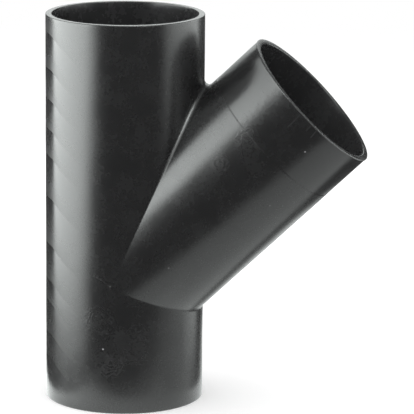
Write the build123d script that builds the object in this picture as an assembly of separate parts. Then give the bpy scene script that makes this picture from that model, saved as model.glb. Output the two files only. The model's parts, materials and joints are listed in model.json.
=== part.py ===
from build123d import *
import math
import os

# Waste pipe branch: a straight run of pipe with an equal branch rising from it at a slant,
# injection moulded in one piece from black polyethylene, with three plain spigot ends.
# Units are millimetres. The origin is the centre of the run's lower end face, +Z runs up
# the run, and the branch leans towards +X, so the part is symmetric about the XZ plane.

# Pipe section, the same on all three ends
PIPE_DIAMETER = 110.0
WALL = 4.2

# Slant of the branch's axis from the run's axis, in degrees
BRANCH_SLANT = 46.0

# Plain pipe beyond the joint, left for a coupler: under its lowest point on the run, and
# past its highest point, the crotch, on the run and on the branch
LOWER_SPIGOT = 65.7
UPPER_SPIGOT = 52.4
BRANCH_SPIGOT = 51.9

# The mould's slanted slide is a hair slimmer than the run, which keeps the joint one smooth loop
SLIDE_UNDERSIZE = 0.1

# Radii where the branch meets the run, outside and in the bore
OUTER_BLEND = 3.0
BORE_BLEND = 1.5

# Witness bead round the branch, where the mouth's collar closed on the slide
COLLAR_LENGTH = 31.0
BEAD_WIDTH = 1.4
BEAD_HEIGHT = 0.35

# Rounding on the rims of the square-cut ends
RIM_ROUNDING = 0.5

PIPE_RADIUS = PIPE_DIAMETER / 2
BORE_RADIUS = PIPE_RADIUS - WALL

# Two equal pipes meet in planes that halve the angles between their axes, so the joint's
# highest and lowest points lie these distances along the axes from where the axes cross
HALF_SLANT = math.radians(BRANCH_SLANT / 2)
CROTCH_REACH = PIPE_RADIUS / math.tan(HALF_SLANT)
HEEL_REACH = PIPE_RADIUS * math.tan(HALF_SLANT)

CROSSING_HEIGHT = LOWER_SPIGOT + HEEL_REACH
RUN_LENGTH = CROSSING_HEIGHT + CROTCH_REACH + UPPER_SPIGOT
BRANCH_LENGTH = CROTCH_REACH + BRANCH_SPIGOT

FROM_ORIGIN = (Align.CENTER, Align.CENTER, Align.MIN)

# The branch's own plane: its origin is where the two axes cross, and its z runs out along the branch
BRANCH_PLANE = Plane((0, 0, CROSSING_HEIGHT)).rotated((0, BRANCH_SLANT, 0))


def run_cylinder(radius: float) -> Part:
    """A cylinder as long as the run, standing on the origin."""
    return Cylinder(radius, RUN_LENGTH, align=FROM_ORIGIN)


def branch_core() -> Part:
    """The slanted core that leaves the branch's bore, from the crossing of the axes to the mouth."""
    return BRANCH_PLANE * Cylinder(BORE_RADIUS - SLIDE_UNDERSIZE, BRANCH_LENGTH, align=FROM_ORIGIN)


def branch_skin() -> Part:
    """The branch as a solid bar, turned from its half profile.

    The slanted stretch has the slide's radius, the collar has the pipe's radius, and the
    witness bead stands where the two meet.
    """
    root_radius = PIPE_RADIUS - SLIDE_UNDERSIZE
    bead_height = BRANCH_LENGTH - COLLAR_LENGTH
    bead_start = (root_radius, bead_height - BEAD_WIDTH / 2)
    bead_top = (PIPE_RADIUS + BEAD_HEIGHT, bead_height)
    bead_end = (PIPE_RADIUS, bead_height + BEAD_WIDTH / 2)
    with BuildPart() as bar:
        with BuildSketch(Plane.XZ):
            with BuildLine():
                Polyline((0, 0), (root_radius, 0), bead_start)
                ThreePointArc(bead_start, bead_top, bead_end)
                Polyline(bead_end, (PIPE_RADIUS, BRANCH_LENGTH), (0, BRANCH_LENGTH), (0, 0))
            make_face()
        revolve(axis=Axis.Z)
    return BRANCH_PLANE * bar.part


def joined(run: Part, branch: Part, blend: float) -> Part:
    """Run and branch as one solid, with a rolling-ball blend along the loop where they meet.

    The turn across that loop falls from a sharp notch in the crotch to nothing at the two
    saddle points on the flanks, so a constant radius fades out there by itself.
    """
    both = run + branch
    return fillet(new_edges(run, branch, combined=both), blend)


def branch_body() -> Part:
    """The whole moulding: the blended skin less the blended cores, with its rims rounded."""
    skin = joined(run_cylinder(PIPE_RADIUS), branch_skin(), OUTER_BLEND)
    cores = joined(run_cylinder(BORE_RADIUS), branch_core(), BORE_BLEND)
    moulding = skin - cores
    end_faces = moulding.faces().filter_by(GeomType.PLANE)
    return fillet(end_faces.edges(), RIM_ROUNDING)


os.makedirs("parts", exist_ok=True)
body = branch_body()
body.label = "branch_body"
export_step(body, "parts/branch_body.step")
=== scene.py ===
"""Looks of a waste pipe branch: one moulding of black polyethylene in a small photo studio.

The moulding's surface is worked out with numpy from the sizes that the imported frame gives, and
wears procedural finishes. Lengths are metres in the part's own frame: +Z runs up the run, the
branch leans towards +X, and the photograph was taken from -Y.
"""

from __future__ import annotations

import json
import logging
import math
from dataclasses import dataclass
from enum import Enum

import bmesh
import bpy
import numpy as np
from mathutils import Matrix, Vector

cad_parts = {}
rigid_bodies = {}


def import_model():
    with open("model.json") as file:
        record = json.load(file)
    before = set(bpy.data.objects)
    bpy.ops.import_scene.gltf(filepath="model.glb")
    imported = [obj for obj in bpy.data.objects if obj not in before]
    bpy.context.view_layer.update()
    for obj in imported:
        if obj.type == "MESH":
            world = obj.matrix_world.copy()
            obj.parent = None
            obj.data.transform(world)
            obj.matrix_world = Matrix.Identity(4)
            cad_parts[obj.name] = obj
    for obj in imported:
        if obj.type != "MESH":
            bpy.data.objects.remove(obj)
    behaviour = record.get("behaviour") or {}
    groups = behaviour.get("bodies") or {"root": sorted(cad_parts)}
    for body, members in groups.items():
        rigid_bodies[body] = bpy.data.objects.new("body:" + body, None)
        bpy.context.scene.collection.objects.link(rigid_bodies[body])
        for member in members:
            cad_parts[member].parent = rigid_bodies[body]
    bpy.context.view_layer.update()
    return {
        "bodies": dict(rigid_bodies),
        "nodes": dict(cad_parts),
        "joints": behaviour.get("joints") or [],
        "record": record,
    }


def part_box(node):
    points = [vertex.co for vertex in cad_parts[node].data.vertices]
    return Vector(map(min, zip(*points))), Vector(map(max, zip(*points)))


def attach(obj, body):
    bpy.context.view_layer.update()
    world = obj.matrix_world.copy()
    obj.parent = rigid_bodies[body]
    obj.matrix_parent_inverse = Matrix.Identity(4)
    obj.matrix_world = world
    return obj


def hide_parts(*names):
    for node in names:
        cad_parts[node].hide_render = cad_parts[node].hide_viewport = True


LOG = logging.getLogger("waste_pipe_branch")
MM = 0.001
CAMERA_BEARING = 8.474  # degrees that the camera stands to the right of -Y
BRANCH_APART = 1.0  # metres that marks on the branch are moved along, apart from the run's
ORIGIN = (0.0, 0.0, 0.0)
WHITE = (1.0, 1.0, 1.0, 1.0)
FALLING = (1.0, 0.0)  # results of a smooth step that falls
NOISE_MEAN = 0.5
X_AXIS, Y_AXIS, Z_AXIS = np.eye(3)

Stops = tuple[tuple[float, float], ...]
Bands = tuple[tuple[float, int], ...]
Groups = dict[str, bpy.types.NodeTree]


class Zone(Enum):
    """The stretches of the moulding's surface that have a finish of their own."""

    SKIN = 0
    BORE = 1
    RIM = 2


class Limb(Enum):
    """The two pipes of the moulding."""

    RUN = 0
    BRANCH = 1


@dataclass(frozen=True)
class Pipe:
    """One of the two pipes, as a place to measure from.

    Args:
        limb: which of the two it is.
        start: the point that distances along it count from: the run's base, or the crossing.
        axis: unit vector along it.
        cross: unit vector square to it, in the plane of both axes, that turns count from.
    """

    limb: Limb
    start: np.ndarray
    axis: np.ndarray
    cross: np.ndarray

    def radial(self, turn: np.ndarray) -> np.ndarray:
        """Unit vectors square to the axis: cos(turn) times cross plus sin(turn) times +Y."""
        return np.cos(turn)[..., None] * self.cross + np.sin(turn)[..., None] * Y_AXIS


@dataclass(frozen=True)
class Fitting:
    """The moulding's sizes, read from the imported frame.

    Args:
        radius: outside radius of both pipes.
        bore: radius of both bores.
        length: length of the run.
        crossing: height at which the two axes cross.
        reach: distance from the crossing to the branch's mouth.
        slant: angle between the two axes, in radians.
    """

    radius: float
    bore: float
    length: float
    crossing: float
    reach: float
    slant: float

    @classmethod
    def from_frame(cls, frame: dict) -> Fitting:
        """Read the sizes from the record's mounts and the CAD body's box.


        Returns:
            The sizes of the moulding.
        """
        mounts = {mount["name"]: mount for mount in frame["record"]["mounts"]}
        mouth, axis = mounts["branch_spigot"]["pos_m"], mounts["branch_spigot"]["axis"]
        return cls(
            radius=mounts["branch_spigot"]["dims"]["r_mm"] * MM,
            bore=mounts["run_bore"]["dims"]["r_mm"] * MM,
            length=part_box("branch_body")[1].z,
            crossing=mouth[2] - mouth[0] * axis[2] / axis[0],
            reach=mouth[0] / axis[0],
            slant=math.atan2(axis[0], axis[2]),
        )

    @property
    def run(self) -> Pipe:
        """The upright pipe, from its base; turns count from +X."""
        return Pipe(Limb.RUN, np.zeros(3), Z_AXIS, X_AXIS)

    @property
    def branch(self) -> Pipe:
        """The slanted pipe, from the crossing of the axes; turns count from its underside."""
        sine, cosine = math.sin(self.slant), math.cos(self.slant)
        start = np.array([0.0, 0.0, self.crossing])
        return Pipe(Limb.BRANCH, start, np.array([sine, 0.0, cosine]), np.array([cosine, 0.0, -sine]))


@dataclass
class Sheet:
    """A grid of points on one stretch of the surface.

    Args:
        points: rows x columns x 3 places.
        normals: unit vectors away from the plastic, in the same grid.
        limb: 0 on the run, 1 on the branch, in the same grid without the last axis.
        zone: the finish that the stretch wears.
    """

    points: np.ndarray
    normals: np.ndarray
    limb: np.ndarray
    zone: Zone


def spread(start: np.ndarray, end: np.ndarray, steps: int) -> np.ndarray:
    """Even steps from start to end, as steps + 1 rows: start * (1 - t) + end * t, with t from 0 to 1."""
    share = np.linspace(0.0, 1.0, steps + 1)[:, None]
    return start * (1.0 - share) + end * share


def grid_faces(rows: int, columns: int, start: int = 0) -> np.ndarray:
    """Corner numbers of the quads of a grid, whose points are numbered row by row from start."""
    index = start + np.arange(rows * columns).reshape(rows, columns)
    return np.stack([index[:-1, :-1], index[:-1, 1:], index[1:, 1:], index[1:, :-1]], -1).reshape(-1, 4)


def new_mesh(name: str, points: np.ndarray, faces: np.ndarray) -> bpy.types.Mesh:
    """Make a mesh from arrays.

    Args:
        name: its name.
        points: places, in a grid of any shape.
        faces: rows of corner numbers.

    Returns:
        The mesh.
    """
    mesh = bpy.data.meshes.new(name)
    mesh.from_pydata(points.reshape(-1, 3).tolist(), [], faces.tolist())
    return mesh


def set_attribute(mesh: bpy.types.Mesh, name: str, values: np.ndarray) -> None:
    """Give each point of a mesh a number that materials read by its name."""
    attribute = mesh.attributes.new(name, "FLOAT", "POINT")
    attribute.data.foreach_set("value", values.reshape(-1).astype(np.float32))


def in_scene(name: str, data: bpy.types.ID) -> bpy.types.Object:
    """Put a mesh or a camera into the scene, at the origin.

    Args:
        name: the object's name.
        data: what it shows.

    Returns:
        The object.
    """
    made = bpy.data.objects.new(name, data)
    bpy.context.scene.collection.objects.link(made)
    return made


@dataclass(frozen=True)
class Skin:
    """The surface of two equal pipes that meet at a slant, blended along the loop where they meet.

    The walls of two equal pipes cross in two planes that halve the angles between the axes. A
    ball of the blend's radius that rolls along the joint keeps its centre in the same planes, at
    radius + blend from both axes, and touches each wall at the same distance along its axis.

    Args:
        fitting: sizes of the moulding.
        zone: the finish that the skin wears.
        radius: radius of both walls.
        blend: radius of the rolling ball where the joint's plane of symmetry cuts it.
        flank_blend: the radius that it falls to at the flanks.
        edge: how far the walls stop short of the ends, for the rims' rounding.
        run_rows: intervals under and over the joint.
        bands: distances from the branch's mouth, each with the intervals that lead to it.
        blend_rows: intervals across the blend.
        columns: intervals round half a pipe.
    """

    fitting: Fitting
    zone: Zone
    radius: float
    blend: float
    flank_blend: float
    edge: float
    run_rows: tuple[int, int]
    bands: Bands
    blend_rows: int
    columns: int = 108

    FALL = 1.5  # power with which the ball's radius falls towards the flanks
    FLAT = 1e-6  # angle between the two walls' normals below which they count as one

    @property
    def side(self) -> float:
        """1 where the plastic is inside the walls, and -1 where it is outside them, as at a bore."""
        return -1.0 if self.zone is Zone.BORE else 1.0

    @property
    def turns(self) -> np.ndarray:
        """Angles of the columns on the half of each pipe that faces the joint."""
        return np.linspace(-math.pi / 2, math.pi / 2, self.columns + 1)

    def ball(self, turn: np.ndarray) -> np.ndarray:
        """Radius of the ball: flank + (middle - flank) times cos(turn) to the power of FALL."""
        share = np.clip(np.cos(turn), 0.0, 1.0) ** self.FALL
        return self.flank_blend + (self.blend - self.flank_blend) * share

    def wall(self, pipe: Pipe, turn: np.ndarray, along: np.ndarray) -> Sheet:
        """A stretch of one pipe's wall: radius times the radial vector, plus along times the axis.

        Args:
            pipe: the pipe.
            turn: angle of each column.
            along: rows x columns of distances along the pipe.

        Returns:
            The stretch as a sheet.
        """
        normals = np.broadcast_to(pipe.radial(turn), (*along.shape, 3))
        points = pipe.start + along[..., None] * pipe.axis + self.radius * normals
        return Sheet(points, self.side * normals, np.full(along.shape, float(pipe.limb.value)), self.zone)

    def contact(self, turn: np.ndarray, upper: bool) -> np.ndarray:
        """Distance from the crossing at which the rolling ball touches each wall.

        Args:
            turn: angles on the half that faces the joint.
            upper: whether the ball rolls in the crotch rather than under the branch.

        Returns:
            (radius + ball) cos(turn) times the cotangent, or under the branch the tangent, of
            half the slant.
        """
        half = math.tan(self.fitting.slant / 2)
        factor = 1.0 / half if upper else half
        return (self.radius + self.ball(turn)) * np.cos(turn) * factor

    def turned(self, share: np.ndarray, angle: np.ndarray) -> np.ndarray:
        """Weight of a unit vector in an even turn: sin(share * angle) / sin(angle), or share where flat."""
        safe = np.maximum(angle, self.FLAT)
        return np.where(angle > self.FLAT, np.sin(share * safe) / np.sin(safe), share)

    def strip(self, upper: bool) -> Sheet:
        """The blend itself: at each turn, the ball's arc from the run's wall to the branch's.

        The arc is centre - ball * direction, where the direction turns evenly from the run's
        normal to the branch's.

        Args:
            upper: whether the strip lies in the crotch rather than under the branch.

        Returns:
            The strip as a sheet whose rows go from the run to the branch.
        """
        turn = self.turns
        on_run = self.fitting.run.radial(turn)
        on_branch = self.fitting.branch.radial(math.pi - turn if upper else turn)
        ball = self.ball(turn)[:, None]
        centre = (self.radius + ball) * on_run + self.fitting.branch.start
        centre[:, 2] += self.contact(turn, upper) * (1.0 if upper else -1.0)
        share = np.linspace(0.0, 1.0, self.blend_rows + 1)[:, None, None]
        angle = np.arccos(np.clip((on_run * on_branch).sum(-1), -1.0, 1.0))[None, :, None]
        direction = self.turned(1 - share, angle) * on_run + self.turned(share, angle) * on_branch
        limb = np.broadcast_to(share[..., 0], direction.shape[:2]).copy()
        return Sheet(centre - ball * direction, self.side * direction, limb, self.zone)

    def run_sheets(self) -> list[Sheet]:
        """The run's wall, in four stretches.

        Returns:
            The stretches under and over the joint, then the two of the half that faces away.
        """
        turn, fitting = self.turns, self.fitting
        under, over = self.run_rows
        base, top = np.full_like(turn, self.edge), np.full_like(turn, fitting.length - self.edge)
        middle = np.full_like(turn, fitting.crossing)
        stretches = (
            (turn, base, middle - self.contact(turn, False), under),
            (turn, middle + self.contact(turn, True), top, over),
            (turn + math.pi, base, middle, under),
            (turn + math.pi, middle, top, over),
        )
        return [
            self.wall(fitting.run, angles, spread(low, high, rows)) for angles, low, high, rows in stretches
        ]

    def to_mouth(self, start: np.ndarray) -> np.ndarray:
        """Distances along the branch, in even steps within each band.

        Args:
            start: where each column starts.

        Returns:
            Rows of distances, the last of them at the mouth's rim.
        """
        rows = [start[None]]
        for from_mouth, steps in self.bands:
            end = np.full_like(start, self.fitting.reach - from_mouth)
            rows.append(spread(rows[-1][-1], end, steps)[1:])
        return np.concatenate(rows)

    def sheets(self) -> list[Sheet]:
        """All stretches of the skin between its three open ends.

        Returns:
            The run's wall, the branch's lower and upper walls, and the two strips of the blend.
        """
        turn, branch = self.turns, self.fitting.branch
        return [
            *self.run_sheets(),
            self.wall(branch, turn, self.to_mouth(self.contact(turn, False))),
            self.wall(branch, math.pi - turn, self.to_mouth(self.contact(turn, True))),
            self.strip(True),
            self.strip(False),
        ]


@dataclass(frozen=True)
class Rim:
    """One square-cut end: a flat ring with a small rounding on each edge.

    Args:
        outer: the skin outside.
        inner: the skin of the bore.
        rounding: radius of the two roundings.
        arc_rows: intervals along each rounding.
    """

    outer: Skin
    inner: Skin
    rounding: float
    arc_rows: int = 4

    def profile(self, proud: float) -> tuple[np.ndarray, np.ndarray, np.ndarray]:
        """The rim's section, from the outside wall over the end to the bore's wall.

        Args:
            proud: how far the rim's outer edge stands over the wall.

        Returns:
            Distance from the axis, depth below the end, and slope of the normal, which is 0
            where it points straight away from the axis and a quarter turn where it points along it.
        """
        slope = np.linspace(0.0, math.pi / 2, self.arc_rows + 1)
        outside = self.outer.radius + proud - self.rounding * (1 - np.cos(slope))
        inside = self.inner.radius + self.rounding * (1 - np.cos(slope[::-1]))
        depth = self.rounding * (1 - np.sin(slope))
        return (
            np.concatenate([outside, inside]),
            np.concatenate([depth, depth[::-1]]),
            np.concatenate([slope, math.pi - slope[::-1]]),
        )

    def sheet(self, pipe: Pipe, end: float, outwards: float, proud: float = 0.0) -> Sheet:
        """The rim at one end of one pipe.

        Args:
            pipe: the pipe.
            end: distance of the end along it.
            outwards: 1 at an end that faces along the axis, -1 at one that faces back.
            proud: how far the rim's outer edge stands over the wall.

        Returns:
            The rim as a sheet.
        """
        away, depth, slope = self.profile(proud)
        turn = self.outer.turns
        radial = pipe.radial(np.concatenate([turn, turn[1:] + math.pi]))[None]
        along = (end - outwards * depth)[:, None, None]
        points = pipe.start + along * pipe.axis + away[:, None, None] * radial
        square, level = np.cos(slope)[:, None, None], outwards * np.sin(slope)[:, None, None]
        normals = square * radial + level * pipe.axis
        return Sheet(points, normals, np.full(points.shape[:2], float(pipe.limb.value)), Zone.RIM)


@dataclass(frozen=True)
class Waves:
    """The shallow waves that cooling leaves in a thick moulded wall.

    Args:
        depth: height of the waves over the true surface.
        shortest: shortest length of a wave.
        longest: longest length of a wave.
        count: number of waves laid over each other.
        seed: start of the random draws.
    """

    depth: float = 0.035 * MM
    shortest: float = 14 * MM
    longest: float = 70 * MM
    count: int = 28
    seed: int = 46

    def height(self, points: np.ndarray) -> np.ndarray:
        """Height of the waves at each point.

        The sum over waves of sin(2 pi (direction . point) / length + phase), each as high as its
        length in proportion to the longest, divided by half the root of their number.

        Args:
            points: rows x columns x 3 places.

        Returns:
            The height in the same grid.
        """
        draw = np.random.default_rng(self.seed)
        heading = draw.normal(size=(self.count, 3))
        heading /= np.linalg.norm(heading, axis=1, keepdims=True)
        length = np.geomspace(self.shortest, self.longest, self.count)
        phase = draw.uniform(0.0, 2 * math.pi, self.count)
        swing = np.sin(2 * math.pi * (points @ heading.T) / length + phase)
        return self.depth * (swing * length / self.longest).sum(-1) / math.sqrt(self.count / 4)


@dataclass(frozen=True)
class Bead:
    """The witness bead round the branch, where the mould's collar closed on its slide.

    Args:
        from_mouth: distance of the bead from the branch's mouth.
        width: width of its foot.
        height: height over the wall.
        step: how far the collar stands over the slide's stretch, or under it where negative.
    """

    from_mouth: float = 37.4 * MM
    width: float = 1.0 * MM
    height: float = 0.03 * MM
    step: float = -0.13 * MM

    def lift(self, along: np.ndarray, reach: float) -> np.ndarray:
        """Height of the bead and the collar.

        A bump (1 + cos) / 2 over the bead's width, and a rise (1 + sin) / 2 to the collar's step
        over the same width.

        Args:
            along: distance along the branch.
            reach: distance from the crossing to the mouth.

        Returns:
            The height at each distance.
        """
        offset = np.clip((along - reach + self.from_mouth) / (self.width / 2), -1.0, 1.0)
        bump = self.height * (1 + np.cos(math.pi * offset)) / 2
        return bump + self.step * (1 + np.sin(math.pi / 2 * offset)) / 2


@dataclass(frozen=True)
class Lip:
    """The edge of the branch's mouth, turned out a little by a cut that runs a little out of square.

    Args:
        proud: how far the edge stands over the wall.
        length: how far back from the mouth it fades out.
        skew: how much longer the pipe is at its back than in front.
        reach: how far back from the mouth that fades out.
    """

    proud: float = 0.3 * MM
    length: float = 0.9 * MM
    skew: float = 0.48 * MM
    reach: float = 12 * MM

    def slip(self, ends: np.ndarray, side: np.ndarray) -> np.ndarray:
        """Shift along the branch: skew * (1 + side) / 2 times a fade; side is -1 in front, 1 behind."""
        return self.skew * (1 + side) / 2 * np.clip(1 - ends / self.reach, 0.0, 1.0)

    def lift(self, ends: np.ndarray, rounding: float) -> np.ndarray:
        """Height of the lip: proud * s * s, where s falls from 1 at the rim's rounding to 0."""
        share = np.clip((self.length - ends) / (self.length - rounding), 0.0, 1.0)
        return self.proud * share * share


@dataclass(frozen=True)
class Fronts:
    """The arcs at which the melt paused on its way up the run's left side.

    Args:
        heights: height of each arc at its bend, in millimetres, from the lowest arc to the highest.
        bearing: angle round the run at which the arcs bend down, in degrees from +X.
        slope: how far an arc falls beyond its bend for each length round the wall.
        bend: how gently it bends.
        near: angle at which the arcs start to fade on the camera's side.
        far: angle at which they have faded out at the back.
        fade: angle over which they fade.
        rise: height from which they show in full.
        least: how strongly they show at the base.
    """

    heights: tuple[float, ...] = (
        -40.0, 29.6, 46.3, 69.3, 84.1, 110.2, 143.6, 172.9, 191.5, 212.4, 233.7, 257.9, 285.0, 312.0, 350.0,
    )
    bearing: float = -145.0
    slope: float = 0.62
    bend: float = 6 * MM
    near: float = -134.0
    far: float = -240.0
    fade: float = 20.0
    rise: float = 105 * MM
    least: float = 0.15

    def turn(self, points: np.ndarray) -> np.ndarray:
        """Angle of each point round the run, from -pi to pi past the bearing."""
        turn = np.arctan2(points[..., 1], points[..., 0]) - math.radians(self.bearing)
        return (turn + math.pi) % (2 * math.pi) - math.pi

    def phase(self, points: np.ndarray) -> np.ndarray:
        """Number of arcs below each point, with the share of the way to the next one.

        An arc passes through the points where z + slope * (sqrt(s^2 + bend^2) + s - bend) / 2 is
        the arc's height, with s the distance round the wall past the bearing.

        Args:
            points: places, one in each row.

        Returns:
            The phase at each point.
        """
        past = self.turn(points) * np.hypot(points[..., 0], points[..., 1])
        level = points[..., 2] + self.slope * (np.hypot(past, self.bend) + past - self.bend) / 2
        return np.interp(level, np.array(self.heights) * MM, np.arange(len(self.heights)))

    def share(self, points: np.ndarray) -> np.ndarray:
        """How strongly the arcs show: less near the base, and nothing beyond the fade on both sides.

        Args:
            points: places, one in each row.

        Returns:
            A share from 0 to 1 at each point.
        """
        turn = np.degrees(self.turn(points)) + self.bearing
        front = np.clip((self.near + self.fade - turn) / self.fade, 0.0, 1.0)
        back = np.clip((turn - self.far) / self.fade, 0.0, 1.0)
        return np.minimum(front, back) * np.clip(points[..., 2] / self.rise, self.least, 1.0)


class Wires:
    """A thin hand on a node tree: each call makes a node and returns what the next one needs."""

    def __init__(self, tree: bpy.types.NodeTree) -> None:
        """Keep the tree."""
        self.tree = tree

    def node(self, kind: str, **settings: object) -> bpy.types.Node:
        """Make a node of a kind and set its own properties.

        Args:
            kind: the node's type name.
            settings: properties by name.

        Returns:
            The new node.
        """
        made = self.tree.nodes.new(kind)
        for name, value in settings.items():
            setattr(made, name, value)
        return made

    def feed(self, socket: bpy.types.NodeSocket, value: object) -> None:
        """Link a socket to another, or set it to a plain value.

        Args:
            socket: the input.
            value: an output socket or a constant.
        """
        if isinstance(value, bpy.types.NodeSocket):
            self.tree.links.new(value, socket)
        else:
            socket.default_value = value

    def fill(self, node: bpy.types.Node, *ordered: object, **named: object) -> bpy.types.Node:
        """Feed a node's inputs.

        Args:
            node: the node.
            ordered: sockets or constants for its first inputs, in their order.
            named: sockets or constants by input name, with underscores for spaces.

        Returns:
            The same node.
        """
        for socket, value in zip(node.inputs, ordered):
            self.feed(socket, value)
        for name, value in named.items():
            self.feed(node.inputs[name.replace("_", " ")], value)
        return node

    def sums(self, operation: str, *inputs: object, clamp: bool = False) -> bpy.types.NodeSocket:
        """The value of a Math node with these inputs, kept between 0 and 1 where it clamps."""
        made = self.node("ShaderNodeMath", operation=operation, use_clamp=clamp)
        return self.fill(made, *inputs).outputs[0]

    def times(self, first: object, second: object) -> bpy.types.NodeSocket:
        """The product of two values."""
        return self.sums("MULTIPLY", first, second)

    def plus(self, total: object, effect: object, weight: object) -> bpy.types.NodeSocket:
        """A total plus an effect times its weight."""
        return self.sums("MULTIPLY_ADD", effect, weight, total)

    def vectors(self, operation: str, *inputs: object) -> bpy.types.NodeSocket:
        """A Vector Math node.

        Args:
            operation: its operation.
            inputs: sockets or triples.

        Returns:
            Its vector, or its value for a length, a distance or a dot product.
        """
        made = self.fill(self.node("ShaderNodeVectorMath", operation=operation), *inputs)
        scalar = operation in ("LENGTH", "DISTANCE", "DOT_PRODUCT")
        return made.outputs["Value" if scalar else "Vector"]

    def scaled(self, vector: object, factor: object) -> bpy.types.NodeSocket:
        """A vector or a colour times a value."""
        made = self.node("ShaderNodeVectorMath", operation="SCALE")
        return self.fill(made, vector, Scale=factor).outputs["Vector"]

    def height_of(self, vector: object) -> bpy.types.NodeSocket:
        """A vector's Z."""
        return self.fill(self.node("ShaderNodeSeparateXYZ"), vector).outputs["Z"]

    def mix(self, share: object, first: object, second: object) -> bpy.types.NodeSocket:
        """A Mix node for vectors.

        Args:
            share: how much of the second there is.
            first: the vector at a share of 0.
            second: the vector at a share of 1.

        Returns:
            The mixed vector.
        """
        made = self.node("ShaderNodeMix", data_type="VECTOR")
        sockets = {socket.identifier: socket for socket in (*made.inputs, *made.outputs)}
        for identifier, value in (("Factor_Float", share), ("A_Vector", first), ("B_Vector", second)):
            self.feed(sockets[identifier], value)
        return sockets["Result_Vector"]

    def steps(
        self, value: object, low: object, high: object, to: tuple[float, float] = (0.0, 1.0)
    ) -> bpy.types.NodeSocket:
        """A smooth step as the value goes from low to high, with the results at both ends."""
        made = self.node("ShaderNodeMapRange", interpolation_type="SMOOTHSTEP")
        return self.fill(made, value, low, high, *to).outputs[0]

    def noise(
        self, vector: object, scale: object, detail: float = 2.0, rough: float = 0.5
    ) -> bpy.types.NodeSocket:
        """A noise texture's value, about 0 to 1, at a scale per metre and with detail octaves."""
        made = self.node("ShaderNodeTexNoise")
        return self.fill(made, Vector=vector, Scale=scale, Detail=detail, Roughness=rough).outputs[0]

    def attribute(self, name: str) -> bpy.types.NodeSocket:
        """The value of one of the mesh's attributes."""
        return self.node("ShaderNodeAttribute", attribute_name=name).outputs["Fac"]

    def place(self, group: bpy.types.NodeTree, **inputs: object) -> bpy.types.NodeOutputs:
        """Place a node group, feed its inputs by name, and return its outputs."""
        return self.fill(self.node("ShaderNodeGroup", node_tree=group), **inputs).outputs


class EffectGroup:
    """A shader node group under construction, with named inputs and outputs."""

    def __init__(
        self, name: str, inputs: dict[str, object], outputs: dict[str, object] | None = None
    ) -> None:
        """Make the group's tree and its sockets.

        Args:
            name: the group's name.
            inputs: default value by input name; a triple makes a vector.
            outputs: the same for the outputs, or nothing for a plain Value.
        """
        self.tree = bpy.data.node_groups.new(name, "ShaderNodeTree")
        for way, labels in (("INPUT", inputs), ("OUTPUT", outputs or {"Value": 0.0})):
            for label, value in labels.items():
                kind = "NodeSocketVector" if isinstance(value, tuple) else "NodeSocketFloat"
                socket = self.tree.interface.new_socket(label, in_out=way, socket_type=kind)
                socket.default_value = value
        self.wires = Wires(self.tree)
        self.given = self.wires.node("NodeGroupInput").outputs

    def give(self, **results: bpy.types.NodeSocket) -> bpy.types.NodeTree:
        """Feed the outputs by name and return the finished tree."""
        self.wires.fill(self.wires.node("NodeGroupOutput"), **results)
        return self.tree


def limb_space_group(fitting: Fitting) -> bpy.types.NodeTree:
    """Coordinates in each pipe's own frame.

    The point less the crossing is kept on the run, and turned back by the slant about Y on the
    branch, so that z always runs along the pipe.

    Args:
        fitting: sizes of the moulding.

    Returns:
        A group that puts out the vector, the distance along the pipe, and the same vector with
        the branch moved a metre along, so that a mark on one pipe never shows on the other.
    """
    changeover = (0.3, 0.7)  # shares of the way across the blend between which the frames change
    group = EffectGroup(
        "limb_space", {"Position": ORIGIN, "Limb": 0.0}, {"Vector": ORIGIN, "Along": 0.0, "Spot": ORIGIN}
    )
    wires = group.wires
    centred = wires.vectors("SUBTRACT", group.given["Position"], tuple(fitting.branch.start))
    turned = wires.node("ShaderNodeVectorRotate", rotation_type="Y_AXIS")
    wires.fill(turned, Vector=centred, Angle=-fitting.slant)
    on_branch = wires.steps(group.given["Limb"], *changeover)
    own = wires.mix(on_branch, centred, turned.outputs[0])
    apart = wires.fill(wires.node("ShaderNodeCombineXYZ"), Z=wires.times(on_branch, BRANCH_APART))
    spot = wires.vectors("ADD", own, apart.outputs[0])
    return group.give(Vector=own, Along=wires.height_of(own), Spot=spot)


def mottle_group() -> bpy.types.NodeTree:
    """Cloudy variation at two sizes, as carbon black leaves it in a moulded wall.

    Returns:
        A group that puts out a value round 0: the coarse noise plus the fine noise times its
        share, less their mean.
    """
    finer, fine_share = 5.3, 0.6  # how many times finer the fine noise is, and its share
    group = EffectGroup("mottle", {"Vector": ORIGIN, "Size": 10 * MM})
    wires = group.wires
    scale = wires.sums("DIVIDE", 1.0, group.given["Size"])
    coarse = wires.noise(group.given["Vector"], scale, detail=3.0, rough=0.55)
    fine = wires.noise(group.given["Vector"], wires.times(scale, finer))
    both = wires.plus(coarse, fine, fine_share)
    return group.give(Value=wires.sums("SUBTRACT", both, NOISE_MEAN * (1 + fine_share)))


def speck_group() -> bpy.types.NodeTree:
    """A speck: a smooth step from 0 on a small ball's surface to 1 at its centre.

    Returns:
        A group that puts out the step.
    """
    group = EffectGroup("speck", {"Spot": ORIGIN, "Centre": ORIGIN, "Radius": MM})
    away = group.wires.vectors("DISTANCE", group.given["Spot"], group.given["Centre"])
    return group.give(Value=group.wires.steps(away, 0.0, group.given["Radius"], FALLING))


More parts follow.
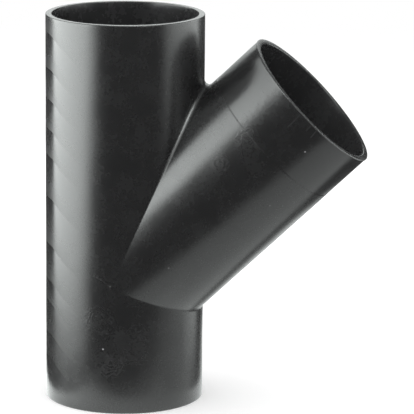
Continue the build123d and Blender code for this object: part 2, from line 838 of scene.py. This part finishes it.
def line_group() -> bpy.types.NodeTree:
    """A fine line from Start to End: 1 on the segment, and 0 at Width from it.

    Returns:
        A group that puts out a smooth step of the distance |p - a - t (b - a)|, where t is
        (p - a) . (b - a) / |b - a|^2, kept between 0 and 1.
    """
    group = EffectGroup("line", {"Spot": ORIGIN, "Start": ORIGIN, "End": ORIGIN, "Width": MM})
    wires, given = group.wires, group.given
    run = wires.vectors("SUBTRACT", given["End"], given["Start"])
    step = wires.vectors("SUBTRACT", given["Spot"], given["Start"])
    along, whole = wires.vectors("DOT_PRODUCT", step, run), wires.vectors("DOT_PRODUCT", run, run)
    foot = wires.scaled(run, wires.sums("DIVIDE", along, whole, clamp=True))
    away = wires.vectors("DISTANCE", step, foot)
    return group.give(Value=wires.steps(away, 0.0, given["Width"], FALLING))


def eddy_group() -> bpy.types.NodeTree:
    """An eddy where the melt turned round a point: wobbly, broken rings that fade towards its edge.

    Returns:
        A group that puts out (sin(2 pi d / spacing) + 1)^2 / 4 times the fade and times the
        patches, where d is the distance from the centre, pushed about by noise.
    """
    wobble_size, wobble_push = 7 * MM, 5.0  # size of the noise, and how many spacings it pushes
    patch_size, patch_step, patch_range = 8 * MM, (0.35, 0.6), (0.1, 1.0)
    fade_start = 0.6  # share of the radius from which the rings fade
    group = EffectGroup("eddy", {"Spot": ORIGIN, "Centre": ORIGIN, "Radius": 10 * MM, "Spacing": 3 * MM})
    wires, given = group.wires, group.given
    away = wires.vectors("DISTANCE", given["Spot"], given["Centre"])
    wobble = wires.noise(given["Spot"], 1.0 / wobble_size, detail=2.5, rough=0.6)
    wobble = wires.sums("SUBTRACT", wobble, NOISE_MEAN)
    pushed = wires.plus(away, wobble, wires.times(given["Spacing"], wobble_push))
    swing = wires.sums("SINE", wires.sums("DIVIDE", wires.times(pushed, 2 * math.pi), given["Spacing"]))
    crest = wires.sums("POWER", wires.plus(0.5, swing, 0.5), 2.0)
    fade = wires.steps(away, wires.times(given["Radius"], fade_start), given["Radius"], FALLING)
    patches = wires.noise(given["Spot"], 1.0 / patch_size, detail=1.0)
    patches = wires.steps(patches, *patch_step, patch_range)
    return group.give(Value=wires.times(wires.times(crest, fade), patches))


def effect_groups(fitting: Fitting) -> Groups:
    """Build the effect groups that the finishes share, by name."""
    trees = (limb_space_group(fitting), mottle_group(), speck_group(), line_group(), eddy_group())
    return {tree.name: tree for tree in trees}


@dataclass(frozen=True)
class Place:
    """A point on a pipe's skin.

    Args:
        limb: the pipe.
        turn: angle round the pipe in degrees, as Pipe.radial counts it.
        along: distance along the pipe from where the axes cross.
    """

    limb: Limb
    turn: float
    along: float

    def spot(self, radius: float) -> tuple[float, float, float]:
        """The place as limb_space's Spot output gives it."""
        turn, along = math.radians(self.turn), self.along + BRANCH_APART * self.limb.value
        return (radius * math.cos(turn), radius * math.sin(turn), along)


class MarkKind(Enum):
    """The kinds of small marks, each by the name of the effect group that draws it."""

    SPECK = "speck"
    LINE = "line"
    EDDY = "eddy"


@dataclass(frozen=True)
class Mark:
    """One small mark on the skin.

    Args:
        kind: what it is.
        at: its centre, or its first end.
        size: its radius, or the line's half width.
        shade: how much paler it is than the skin, as a share.
        relief: how far it stands over the skin.
        end: the line's other end.
        spacing: distance between an eddy's rings.
    """

    kind: MarkKind
    at: Place
    size: float
    shade: float
    relief: float = 0.0
    end: Place | None = None
    spacing: float = 0.0

    def value(self, wires: Wires, groups: Groups, spot: object, radius: float) -> bpy.types.NodeSocket:
        """Place the mark's group in a material and return its value.

        Args:
            wires: the material's wires.
            groups: the shared effect groups by name.
            spot: limb_space's Spot output.
            radius: radius of the pipes.

        Returns:
            A socket that is 0 off the mark.
        """
        if self.kind is MarkKind.LINE:
            inputs = {"Start": self.at.spot(radius), "End": self.end.spot(radius), "Width": self.size}
        else:
            inputs = {"Centre": self.at.spot(radius), "Radius": self.size}
        if self.kind is MarkKind.EDDY:
            inputs["Spacing"] = self.spacing
        return wires.place(groups[self.kind.value], Spot=spot, **inputs)["Value"]


RUN, BRANCH = Limb
SPECK, LINE, EDDY = MarkKind
MARKS = (
    Mark(SPECK, Place(RUN, -95.5, -43.4 * MM), 0.9 * MM, 40.0),
    Mark(SPECK, Place(RUN, -90.1, 1.1 * MM), 0.9 * MM, 20.0),
    Mark(SPECK, Place(BRANCH, -68.8, 164.3 * MM), 0.8 * MM, 30.0),
    Mark(SPECK, Place(BRANCH, -55.1, 119.6 * MM), 0.8 * MM, 9.0),
    Mark(SPECK, Place(BRANCH, -72.6, 39.4 * MM), 0.8 * MM, 9.0),
    Mark(LINE, Place(RUN, -102.3, 7.7 * MM), 0.6 * MM, 1.2, 0.06 * MM, Place(RUN, -97.0, 5.6 * MM)),
    Mark(LINE, Place(RUN, -97.0, 5.6 * MM), 0.6 * MM, 1.2, 0.06 * MM, Place(RUN, -90.5, 1.2 * MM)),
    Mark(LINE, Place(BRANCH, -90.6, 168.0 * MM), 0.6 * MM, 1.4, 0.06 * MM, Place(BRANCH, -91.2, 180.0 * MM)),
    Mark(LINE, Place(BRANCH, -74.2, 174.2 * MM), 0.6 * MM, 1.4, 0.06 * MM, Place(BRANCH, -75.0, 180.5 * MM)),
    Mark(LINE, Place(BRANCH, -80.0, 175.5 * MM), 0.6 * MM, 1.2, 0.06 * MM, Place(BRANCH, -80.5, 180.5 * MM)),
    Mark(EDDY, Place(RUN, -100.0, -25.5 * MM), 14.0 * MM, 1.0, 0.035 * MM, spacing=3.4 * MM),
    Mark(EDDY, Place(RUN, -90.5, -53.5 * MM), 12.0 * MM, 1.2, 0.05 * MM, spacing=2.6 * MM),
    Mark(EDDY, Place(RUN, -76.0, -40.0 * MM), 17.0 * MM, 0.5, 0.025 * MM, spacing=5.5 * MM),
    Mark(EDDY, Place(BRANCH, -104.0, 142.0 * MM), 10.0 * MM, 0.8, 0.035 * MM, spacing=2.8 * MM),
    Mark(EDDY, Place(BRANCH, -103.0, 116.0 * MM), 8.5 * MM, 0.8, 0.035 * MM, spacing=3.0 * MM),
)


def node_material(name: str) -> tuple[bpy.types.Material, Wires]:
    """Make a material with nodes.

    Args:
        name: its name.

    Returns:
        The material, and the wires of its tree.
    """
    made = bpy.data.materials.new(name)
    made.use_nodes = True
    return made, Wires(made.node_tree)


@dataclass(frozen=True)
class Polyethylene:
    """Black polyethylene as one zone of the moulding shows it.

    Args:
        name: the material's name.
        colour: base colour.
        roughness: mean roughness.
        roughness_swing: how far the mottle moves the roughness.
        shade_swing: how far the mottle moves the colour, as a share.
        mottle_size: size of the mottle's coarse clouds.
        relief: height of the fine relief.
        relief_size: size of its bumps.
        front_swing: how much rougher the skin is above a flow front than below it.
        front_relief: height of a flow front's step.
        collar_swing: how much rougher the collar at the branch's mouth is, or smoother where negative.
        collar_relief: how much higher the fine relief on the collar is, as a share.
        marks: the small marks on it.
    """

    name: str
    colour: tuple[float, float, float] = (0.0136, 0.0136, 0.0139)
    roughness: float = 0.27
    roughness_swing: float = 0.10
    shade_swing: float = 0.6
    mottle_size: float = 12 * MM
    relief: float = 0.014 * MM
    relief_size: float = 2.5 * MM
    front_swing: float = 0.0
    front_relief: float = 0.0
    collar_swing: float = 0.0
    collar_relief: float = 0.0
    marks: tuple[Mark, ...] = ()

    FRONT_MEAN = 0.38  # a front's effect starts at this just above it, and falls by 1 to the next one
    COLLAR_EDGE = 1 * MM  # length over which the collar's finish sets in
    OFF_BLEND = (0.6, 0.9)  # shares of the way across the blend between which it sets in as well

    def material(self, groups: Groups, fitting: Fitting, bead: Bead) -> bpy.types.Material:
        """Build the material.

        Args:
            groups: the shared effect groups by name.
            fitting: sizes of the moulding.
            bead: the bead that the collar starts at.

        Returns:
            The material.
        """
        made, wires = node_material(self.name)
        place = wires.node("ShaderNodeTexCoord").outputs["Object"]
        limb = wires.attribute("limb")
        space = wires.place(groups["limb_space"], Position=place, Limb=limb)
        mottle = wires.place(groups["mottle"], Vector=space["Vector"], Size=self.mottle_size)["Value"]
        front = wires.sums("SUBTRACT", self.FRONT_MEAN, wires.sums("FRACT", wires.attribute("front")))
        pause = wires.times(front, wires.attribute("front_share"))
        start = fitting.reach - bead.from_mouth
        beyond = wires.steps(space["Along"], start, start + self.COLLAR_EDGE)
        collar = wires.times(beyond, wires.steps(limb, *self.OFF_BLEND))

        rough = wires.plus(self.roughness, mottle, self.roughness_swing)
        rough = wires.plus(rough, pause, self.front_swing)
        rough = wires.plus(rough, collar, self.collar_swing)
        shade = wires.plus(1.0, mottle, self.shade_swing)
        height = wires.times(wires.noise(space["Vector"], 1.0 / self.relief_size), self.relief)
        height = wires.times(height, wires.plus(1.0, collar, self.collar_relief))
        height = wires.plus(height, pause, self.front_relief)
        for mark in self.marks:
            drawn = mark.value(wires, groups, space["Spot"], fitting.radius)
            shade = wires.plus(shade, drawn, mark.shade)
            height = wires.plus(height, drawn, mark.relief)

        bump = wires.fill(wires.node("ShaderNodeBump"), Height=height, Distance=1.0, Strength=1.0)
        shader, colour = wires.tree.nodes["Principled BSDF"], wires.scaled(self.colour, shade)
        wires.fill(shader, Base_Color=colour, Roughness=rough, Normal=bump.outputs[0])
        return made


FINISHES = {
    Zone.SKIN: Polyethylene(
        "moulded_skin", front_swing=0.16, front_relief=0.01 * MM, collar_swing=-0.03, collar_relief=2.0,
        marks=MARKS,
    ),
    # Painted light: the bore's colour is painted lighter than the skin's, to lift the shade that falls
    # inside the bores.
    Zone.BORE: Polyethylene("bore_painted_lighter", colour=(0.024, 0.024, 0.0245)),
    Zone.RIM: Polyethylene("cut_rim"),
}


@dataclass(frozen=True)
class Moulding:
    """The branch moulding: builds its closed mesh and dresses it.

    Args:
        fitting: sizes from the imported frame.
        name: the piece's name.
        blend: radius of the outside blend in the crotch and under the branch.
        flank_blend: the radius that it falls to at the flanks.
        bore_blend: radius of the blend between the bores.
        rounding: radius of the rims' edges.
        waves: the waves in the walls.
        wave_fade: length over which they set in from an end.
        bead: the witness bead.
        lip: the edge of the branch's mouth.
        fronts: the arcs along the run.
        weld: distance within which the sheets' points are joined.
    """

    fitting: Fitting
    name: str = "branch_moulding"
    blend: float = 3.4 * MM
    flank_blend: float = 1.0 * MM
    bore_blend: float = 1.5 * MM
    rounding: float = 0.5 * MM
    waves: Waves = Waves()
    wave_fade: float = 4 * MM
    bead: Bead = Bead()
    lip: Lip = Lip()
    fronts: Fronts = Fronts()
    weld: float = 1e-6

    @property
    def outside(self) -> Skin:
        """The skin outside; its bands end before and past the bead, before and on the lip, at the rim."""
        return Skin(
            self.fitting, Zone.SKIN, self.fitting.radius, self.blend, self.flank_blend, self.rounding,
            run_rows=(58, 100), blend_rows=10,
            bands=((38.2 * MM, 92), (36.6 * MM, 10), (1.1 * MM, 26), (0.8 * MM, 3), (self.rounding, 3)),
        )

    @property
    def inside(self) -> Skin:
        """The skin of the two bores."""
        return Skin(
            self.fitting, Zone.BORE, self.fitting.bore, self.bore_blend, self.bore_blend, self.rounding,
            run_rows=(16, 34), blend_rows=6, bands=((self.rounding, 36),),
        )

    def sheets(self) -> list[Sheet]:
        """All stretches of the surface.

        Returns:
            The two skins and the three square-cut ends.
        """
        rim = Rim(self.outside, self.inside, self.rounding)
        return [
            *self.outside.sheets(),
            *self.inside.sheets(),
            rim.sheet(self.fitting.run, 0.0, -1.0),
            rim.sheet(self.fitting.run, self.fitting.length, 1.0),
            rim.sheet(self.fitting.branch, self.fitting.reach, 1.0, self.lip.proud + self.bead.step),
        ]

    def shaped(self, sheet: Sheet) -> np.ndarray:
        """Places of a sheet's points once the waves, the bead and the lip are on it.

        Args:
            sheet: a stretch of the true surface.

        Returns:
            point + slip * axis + normal * (waves + bead + lip); the flat rims only slip.
        """
        fitting, branch = self.fitting, self.fitting.branch
        along = (sheet.points - branch.start) @ branch.axis
        on_branch = sheet.limb > 0.5
        slip = on_branch * self.lip.slip(fitting.reach - along, sheet.points[..., 1] / fitting.radius)
        skewed = sheet.points + slip[..., None] * branch.axis
        if sheet.zone is Zone.RIM:
            return skewed
        ends = np.minimum(sheet.points[..., 2], fitting.length - sheet.points[..., 2])
        ends = np.where(on_branch, fitting.reach - along, ends)
        lift = self.waves.height(sheet.points) * np.clip((ends - self.rounding) / self.wave_fade, 0.0, 1.0)
        if sheet.zone is Zone.SKIN:
            raised = self.bead.lift(along, fitting.reach) + self.lip.lift(ends, self.rounding)
            lift = lift + on_branch * raised
        return skewed + sheet.normals * lift[..., None]

    def build(self) -> bpy.types.Object:
        """Make the closed mesh from all sheets and weld their shared edges.

        Returns:
            The object, at the origin, with limb, front and front_share attributes on its points.
        """
        sheets = self.sheets()
        starts = np.cumsum([0, *(sheet.limb.size for sheet in sheets)])
        faces = [grid_faces(*sheet.limb.shape, start) for sheet, start in zip(sheets, starts)]
        zones = [np.full(len(quads), sheet.zone.value, np.int32) for sheet, quads in zip(sheets, faces)]
        points = np.concatenate([sheet.points.reshape(-1, 3) for sheet in sheets])
        limb = np.concatenate([sheet.limb.reshape(-1) for sheet in sheets])
        shaped = np.concatenate([self.shaped(sheet).reshape(-1, 3) for sheet in sheets])
        mesh = new_mesh(self.name, shaped, np.concatenate(faces))
        mesh.polygons.foreach_set("material_index", np.concatenate(zones))
        set_attribute(mesh, "limb", limb)
        set_attribute(mesh, "front", self.fronts.phase(points))
        set_attribute(mesh, "front_share", self.fronts.share(points) * (1 - limb))
        self.close(mesh)
        return in_scene(self.name, mesh)

    def close(self, mesh: bpy.types.Mesh) -> None:
        """Join the sheets' shared edges, turn all faces outwards and shade them smooth.

        Args:
            mesh: the mesh of all sheets.

        Raises:
            ValueError: if an edge is left open.
        """
        work = bmesh.new()
        work.from_mesh(mesh)
        bmesh.ops.remove_doubles(work, verts=work.verts, dist=self.weld)
        bmesh.ops.recalc_face_normals(work, faces=work.faces)
        open_edges = sum(not edge.is_manifold for edge in work.edges)
        work.to_mesh(mesh)
        work.free()
        mesh.polygons.foreach_set("use_smooth", np.ones(len(mesh.polygons), bool))
        if open_edges:
            raise ValueError(f"the moulding's surface has {open_edges} open edges")

    def dress(self, piece: bpy.types.Object) -> None:
        """Give each zone its finish, and the piece its place in the frame.

        Args:
            piece: the built moulding.
        """
        groups = effect_groups(self.fitting)
        for zone in Zone:
            piece.data.materials.append(FINISHES[zone].material(groups, self.fitting, self.bead))
        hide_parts("branch_body")
        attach(piece, "root")


def between(stops: Stops, place: np.ndarray) -> np.ndarray:
    """Straight lines between stops: the value at each place, level outside the stops."""
    return np.interp(place, [stop[0] for stop in stops], [stop[1] for stop in stops])


@dataclass(frozen=True)
class Reflector:
    """A glowing sheet of the studio that shows only in reflections.

    Its glow is the value at the place across it times the value at the place along it.

    Args:
        name: its name.
        bearing: direction from the run's axis, in degrees to the right of the camera.
        across: places from left to right as the object sees it, each with a value.
        along: places up it, or away from the camera where it lies level, each with a value.
    """

    name: str
    bearing: float
    across: Stops
    along: Stops

    CELLS = 48
    HIDDEN_FROM = ("visible_camera", "visible_diffuse", "visible_shadow", "visible_transmission")

    @property
    def side(self) -> np.ndarray:
        """Level unit vector across the sheet, towards its right."""
        turn = math.radians(CAMERA_BEARING + self.bearing)
        return np.array([math.cos(turn), math.sin(turn), 0.0])

    @property
    def away(self) -> np.ndarray:
        """Level unit vector square to the side, from the run's axis outwards."""
        return np.array([self.side[1], -self.side[0], 0.0])

    def points(self, across: np.ndarray, along: np.ndarray) -> np.ndarray:
        """Places of the sheet's points, from their places across and along it."""
        raise NotImplementedError

    def build(self, glow: bpy.types.Material) -> bpy.types.Object:
        """Make the sheet and hide it from the camera, matt rays, shadows and transmission.

        Args:
            glow: the material that shines as strongly as the mesh's glow attribute says.

        Returns:
            The sheet.
        """
        across, along = np.meshgrid(
            *(np.linspace(stops[0][0], stops[-1][0], self.CELLS + 1) for stops in (self.across, self.along))
        )
        strength = between(self.across, across) * between(self.along, along)
        mesh = new_mesh(self.name, self.points(across, along), grid_faces(*strength.shape))
        set_attribute(mesh, "glow", strength)
        mesh.materials.append(glow)
        made = in_scene(self.name, mesh)
        for rays in self.HIDDEN_FROM:
            setattr(made, rays, False)
        return made


@dataclass(frozen=True)
class Panel(Reflector):
    """An upright lit panel beside the object.

    Args:
        distance: distance from the run's axis.
        left: width of the left half at heights, as a share.
        right: width of the right half at heights, as a share.
    """

    distance: float = 0.6
    left: Stops = ((0.0, 1.0),)
    right: Stops = ((0.0, 1.0),)

    def points(self, across: np.ndarray, along: np.ndarray) -> np.ndarray:
        """Distance times away, plus the place across times that half's width, plus the height."""
        wide = across * np.where(across > 0, between(self.right, along), between(self.left, along))
        return self.away * self.distance + wide[..., None] * self.side + along[..., None] * Z_AXIS


@dataclass(frozen=True)
class Bench(Reflector):
    """A level lit sheet: the plate, the table, the floor or the ceiling, as reflections show them.

    Args:
        height: its height.
    """

    height: float = 0.0

    def points(self, across: np.ndarray, along: np.ndarray) -> np.ndarray:
        """The place across times the side, less the place along times away, plus the height."""
        return across[..., None] * self.side - along[..., None] * self.away + self.height * Z_AXIS


REFLECTORS = (
    Panel(
        "left_softbox", bearing=-86.0,
        across=(
            (-0.435, 0.0), (-0.405, 0.74), (-0.25, 0.82), (0.0, 1.0), (0.2, 1.0), (0.35, 1.02),
            (0.435, 0.86), (0.475, 0.35), (0.51, 0.0),
        ),
        along=(
            (0.2, 10.0), (0.3, 10.6), (0.45, 9.7), (0.55, 7.4), (0.65, 5.2), (0.75, 3.8), (0.9, 2.2),
            (1.0, 0.0),
        ),
        left=((0.2, 1.09), (1.0, 1.45)),
        right=((0.2, 1.09), (0.3, 1.17), (0.42, 1.22), (0.52, 1.18), (1.0, 1.3)),
    ),
    Panel(
        "left_softbox_foot", bearing=-86.0,
        across=(
            (-0.435, 0.0), (-0.405, 0.74), (-0.25, 0.82), (0.0, 1.0), (0.2, 0.99), (0.27, 0.93),
            (0.34, 0.74), (0.42, 0.52), (0.485, 0.3), (0.55, 0.0),
        ),
        along=(
            (-0.12, 0.0), (-0.105, 3.8), (-0.07, 6.3), (-0.03, 7.5), (0.05, 8.6), (0.15, 9.8), (0.2, 10.0),
        ),
        left=((-0.12, 0.94), (0.0, 0.985), (0.12, 1.0), (0.2, 1.09)),
        right=(
            (-0.12, 0.67), (-0.10, 0.82), (-0.085, 1.0), (-0.05, 0.95), (0.0, 0.93), (0.033, 0.96),
            (0.066, 1.08), (0.10, 1.34), (0.13, 1.48), (0.2, 1.28),
        ),
    ),
    Panel(
        "right_card", bearing=90.0,
        across=(
            (-0.40, 0.0), (-0.34, 0.6), (-0.1, 0.98), (0.1, 1.0), (0.25, 1.06), (0.43, 1.04), (0.51, 0.0),
        ),
        along=(
            (-0.14, 2.4), (-0.10, 2.3), (-0.08, 2.0), (-0.05, 1.5), (0.06, 2.2), (0.15, 2.9), (0.3, 4.8),
            (0.45, 4.8), (0.55, 0.0),
        ),
        left=((-0.14, 0.5), (-0.03, 0.55), (0.03, 1.0)),
    ),
    Panel(
        "front_light", bearing=28.0, distance=0.9,
        across=((-0.5, 7.0), (-0.1, 11.0), (0.38, 11.0), (0.48, 0.0)),
        along=((0.55, 0.0), (0.6, 1.0), (1.3, 1.0)),
    ),
    Panel(
        "front_fill", bearing=-15.0, distance=0.9,
        across=((-0.4, 3.0), (0.0, 4.0), (0.4, 5.0)),
        along=((0.55, 0.0), (0.6, 1.0), (1.3, 1.0)),
    ),
    Panel(
        "backdrop", bearing=180.0, distance=1.5,
        across=((-0.72, 0.0), (-0.62, 1.0), (0.54, 1.0), (0.62, 0.0)),
        along=((0.36, 0.0), (0.43, 1.3), (0.5, 1.9), (0.7, 2.1), (1.2, 1.4), (1.6, 0.0)),
        right=((0.36, 0.68), (0.50, 0.73), (0.62, 1.08)),
    ),
    Panel(
        "back_wall", bearing=180.0, distance=1.5,
        across=((-0.17, 0.0), (-0.10, 1.0), (0.08, 1.05), (0.26, 0.35), (0.40, 0.35), (0.48, 0.0)),
        along=((0.0, 1.5), (0.2, 1.4), (0.3, 1.9), (0.36, 2.1), (0.38, 0.0)),
    ),
    Bench(
        "plate", bearing=0.0, height=-0.6 * MM,
        across=((-0.076, 2.9), (-0.045, 2.75), (0.0, 2.25), (0.05, 1.85), (0.080, 1.7)),
        along=((-0.100, 1.0), (0.0, 1.0), (0.084, 0.8)),
    ),
    Bench(
        "low_table", bearing=-CAMERA_BEARING, height=-60 * MM,
        across=((-0.02, 1.6), (0.1, 1.5), (0.25, 1.25), (0.4, 1.15), (0.6, 1.1)),
        along=(
            (-0.275, 0.0), (-0.26, 0.8), (-0.19, 0.95), (-0.1, 1.0), (0.05, 0.98), (0.092, 0.96),
            (0.101, 0.0),
        ),
    ),
    Bench(
        "back_floor", bearing=0.0, height=-120 * MM,
        across=((-0.16, 0.0), (-0.10, 1.0), (0.26, 1.0), (0.31, 0.0)),
        along=((0.08, 0.06), (0.16, 0.16), (0.24, 0.66), (0.33, 1.32), (0.6, 1.3), (0.7, 0.0)),
    ),
    Bench(
        "far_floor", bearing=0.0, height=-120 * MM,
        across=((-0.16, 0.0), (-0.10, 1.2), (0.10, 1.2), (0.15, 0.0)),
        along=((0.65, 0.0), (0.72, 1.0), (1.5, 1.0)),
    ),
    Bench(
        "ceiling", bearing=0.0, height=1.3,
        across=((-0.8, 1.5), (-0.1, 2.0), (0.1, 0.8), (0.8, 0.3)),
        along=((-0.7, 1.0), (0.7, 0.6)),
    ),
)


@dataclass(frozen=True)
class Camera:
    """The photograph's camera, as fitted to the object's outline.

    Args:
        target: the point at the middle of the picture.
        distance: distance from it.
        bearing: degrees that the camera stands to the right of -Y.
        elevation: degrees that it looks down.
        roll: degrees that the picture is turned.
        focal: focal length in pixels of the photograph.
        frame: the photograph's side in pixels.
        sensor: width of the sensor in millimetres.
        far: distance up to which it sees.
    """

    target: tuple[float, float, float] = (0.056763, 0.008457, 0.134545)
    distance: float = 2.1752
    bearing: float = CAMERA_BEARING
    elevation: float = 12.73
    roll: float = 0.4975
    focal: float = 3115.67
    frame: float = 414.0
    sensor: float = 36.0
    far: float = 50.0

    def build(self) -> None:
        """Make the camera and hand it to the scene."""
        side, rise, tilt = (math.radians(angle) for angle in (self.bearing, self.elevation, self.roll))
        back = Vector((math.sin(side) * math.cos(rise), -math.cos(side) * math.cos(rise), math.sin(rise)))
        right = Vector((math.cos(side), math.sin(side), 0.0))
        up = back.cross(right)
        across = math.cos(tilt) * right + math.sin(tilt) * up
        upwards = math.cos(tilt) * up - math.sin(tilt) * right
        data = bpy.data.cameras.new("photo_camera")
        data.sensor_width = self.sensor
        data.lens = self.sensor * self.focal / self.frame
        data.clip_end = self.far
        camera = in_scene("photo_camera", data)
        turn = Matrix((across, upwards, back)).transposed().to_4x4()
        camera.matrix_world = Matrix.Translation(Vector(self.target) + back * self.distance) @ turn
        bpy.context.scene.camera = camera


@dataclass(frozen=True)
class Studio:
    """The floor, the reflectors and the surroundings that the moulding is photographed in.

    Args:
        floor_side: side of the square floor.
        floor_drop: how far it lies under the object.
        paper: shade of its paper.
        paper_roughness: how matt the paper is.
        paper_lift: how much brighter the camera sees the paper.
        paper_fade: distances from the object between which it turns plain white.
        glow: colour of the reflectors.
        room: strength of the dim room in reflections.
        sky: light from the side on matt surfaces.
        sky_rise: how much stronger it is from overhead.
    """

    floor_side: float = 12.0
    floor_drop: float = 0.2 * MM
    paper: tuple[float, float, float, float] = (0.80, 0.80, 0.80, 1.0)
    paper_roughness: float = 0.9
    paper_lift: float = 0.24
    paper_fade: tuple[float, float] = (0.5, 1.6)
    glow: tuple[float, float, float, float] = (0.957, 1.0, 0.985, 1.0)
    room: float = 0.08
    sky: float = 0.5
    sky_rise: float = 1.3

    def lay_floor(self) -> None:
        """Lay the floor that the camera sees and the object's shadow falls on."""
        ends = np.array([-1.0, 1.0]) * self.floor_side / 2
        across, deep = np.meshgrid(ends, ends)
        points = np.stack([across, deep, np.full_like(across, -self.floor_drop)], -1)
        mesh = new_mesh("floor", points, grid_faces(*across.shape))
        mesh.materials.append(self.paper_material())
        made = in_scene("floor", mesh)
        made.visible_glossy = False

    def paper_material(self) -> bpy.types.Material:
        """Pale paper: matt, with a lift for the camera, and plain white far from the object.

        Returns:
            The material.
        """
        made, wires = node_material("studio_paper")
        seen = wires.node("ShaderNodeLightPath").outputs["Is Camera Ray"]
        shader = wires.fill(
            wires.tree.nodes["Principled BSDF"], Base_Color=self.paper, Roughness=self.paper_roughness,
            Specular_IOR_Level=0.0, Emission_Color=WHITE,
            Emission_Strength=wires.times(seen, self.paper_lift),
        )
        place = wires.node("ShaderNodeTexCoord").outputs["Object"]
        far = wires.times(wires.steps(wires.vectors("LENGTH", place), *self.paper_fade), seen)
        white = wires.node("ShaderNodeEmission")
        both = wires.fill(wires.node("ShaderNodeMixShader"), far, shader.outputs[0], white.outputs[0])
        wires.fill(wires.tree.nodes["Material Output"], Surface=both.outputs[0])
        return made

    def glow_material(self) -> bpy.types.Material:
        """Light as strong as the mesh's glow attribute says.

        Returns:
            The material.
        """
        made, wires = node_material("studio_glow")
        made.cycles.emission_sampling = "NONE"
        wires.tree.nodes.clear()
        light = wires.node("ShaderNodeEmission")
        wires.fill(light, Color=self.glow, Strength=wires.attribute("glow"))
        wires.fill(wires.node("ShaderNodeOutputMaterial"), Surface=light.outputs[0])
        return made

    def surround(self) -> None:
        """A white background for the camera, a dim room for glossy rays and an even sky for matt ones."""
        world = bpy.data.worlds.new("studio_room")
        bpy.context.scene.world = world
        world.use_nodes = True
        world.cycles.sampling_method = "NONE"
        wires = Wires(world.node_tree)
        path = wires.node("ShaderNodeLightPath").outputs
        white = wires.sums("MAXIMUM", path["Is Camera Ray"], path["Is Transmission Ray"])
        dim = wires.times(path["Is Glossy Ray"], self.room)
        heading = wires.node("ShaderNodeTexCoord").outputs["Generated"]
        rise = wires.sums("MAXIMUM", wires.height_of(heading), 0.0)
        sky = wires.times(wires.plus(self.sky, rise, self.sky_rise), path["Is Diffuse Ray"])
        strength = wires.sums("ADD", wires.sums("ADD", white, dim), sky)
        wires.fill(wires.tree.nodes["Background"], Color=WHITE, Strength=strength)

    def build(self) -> None:
        """Lay the floor, set up the reflectors and light the room."""
        self.lay_floor()
        glow = self.glow_material()
        for reflector in REFLECTORS:
            reflector.build(glow)
        self.surround()


def main() -> None:
    """Build the moulding and the studio round the frame."""
    logging.basicConfig(level=logging.INFO, format="%(name)s: %(message)s")
    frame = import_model()
    bpy.context.scene.view_settings.view_transform = "Standard"
    Camera().build()
    moulding = Moulding(Fitting.from_frame(frame))
    piece = moulding.build()
    moulding.dress(piece)
    LOG.info("%s: %d faces", piece.name, len(piece.data.polygons))
    Studio().build()


if __name__ == "__main__":
    main()
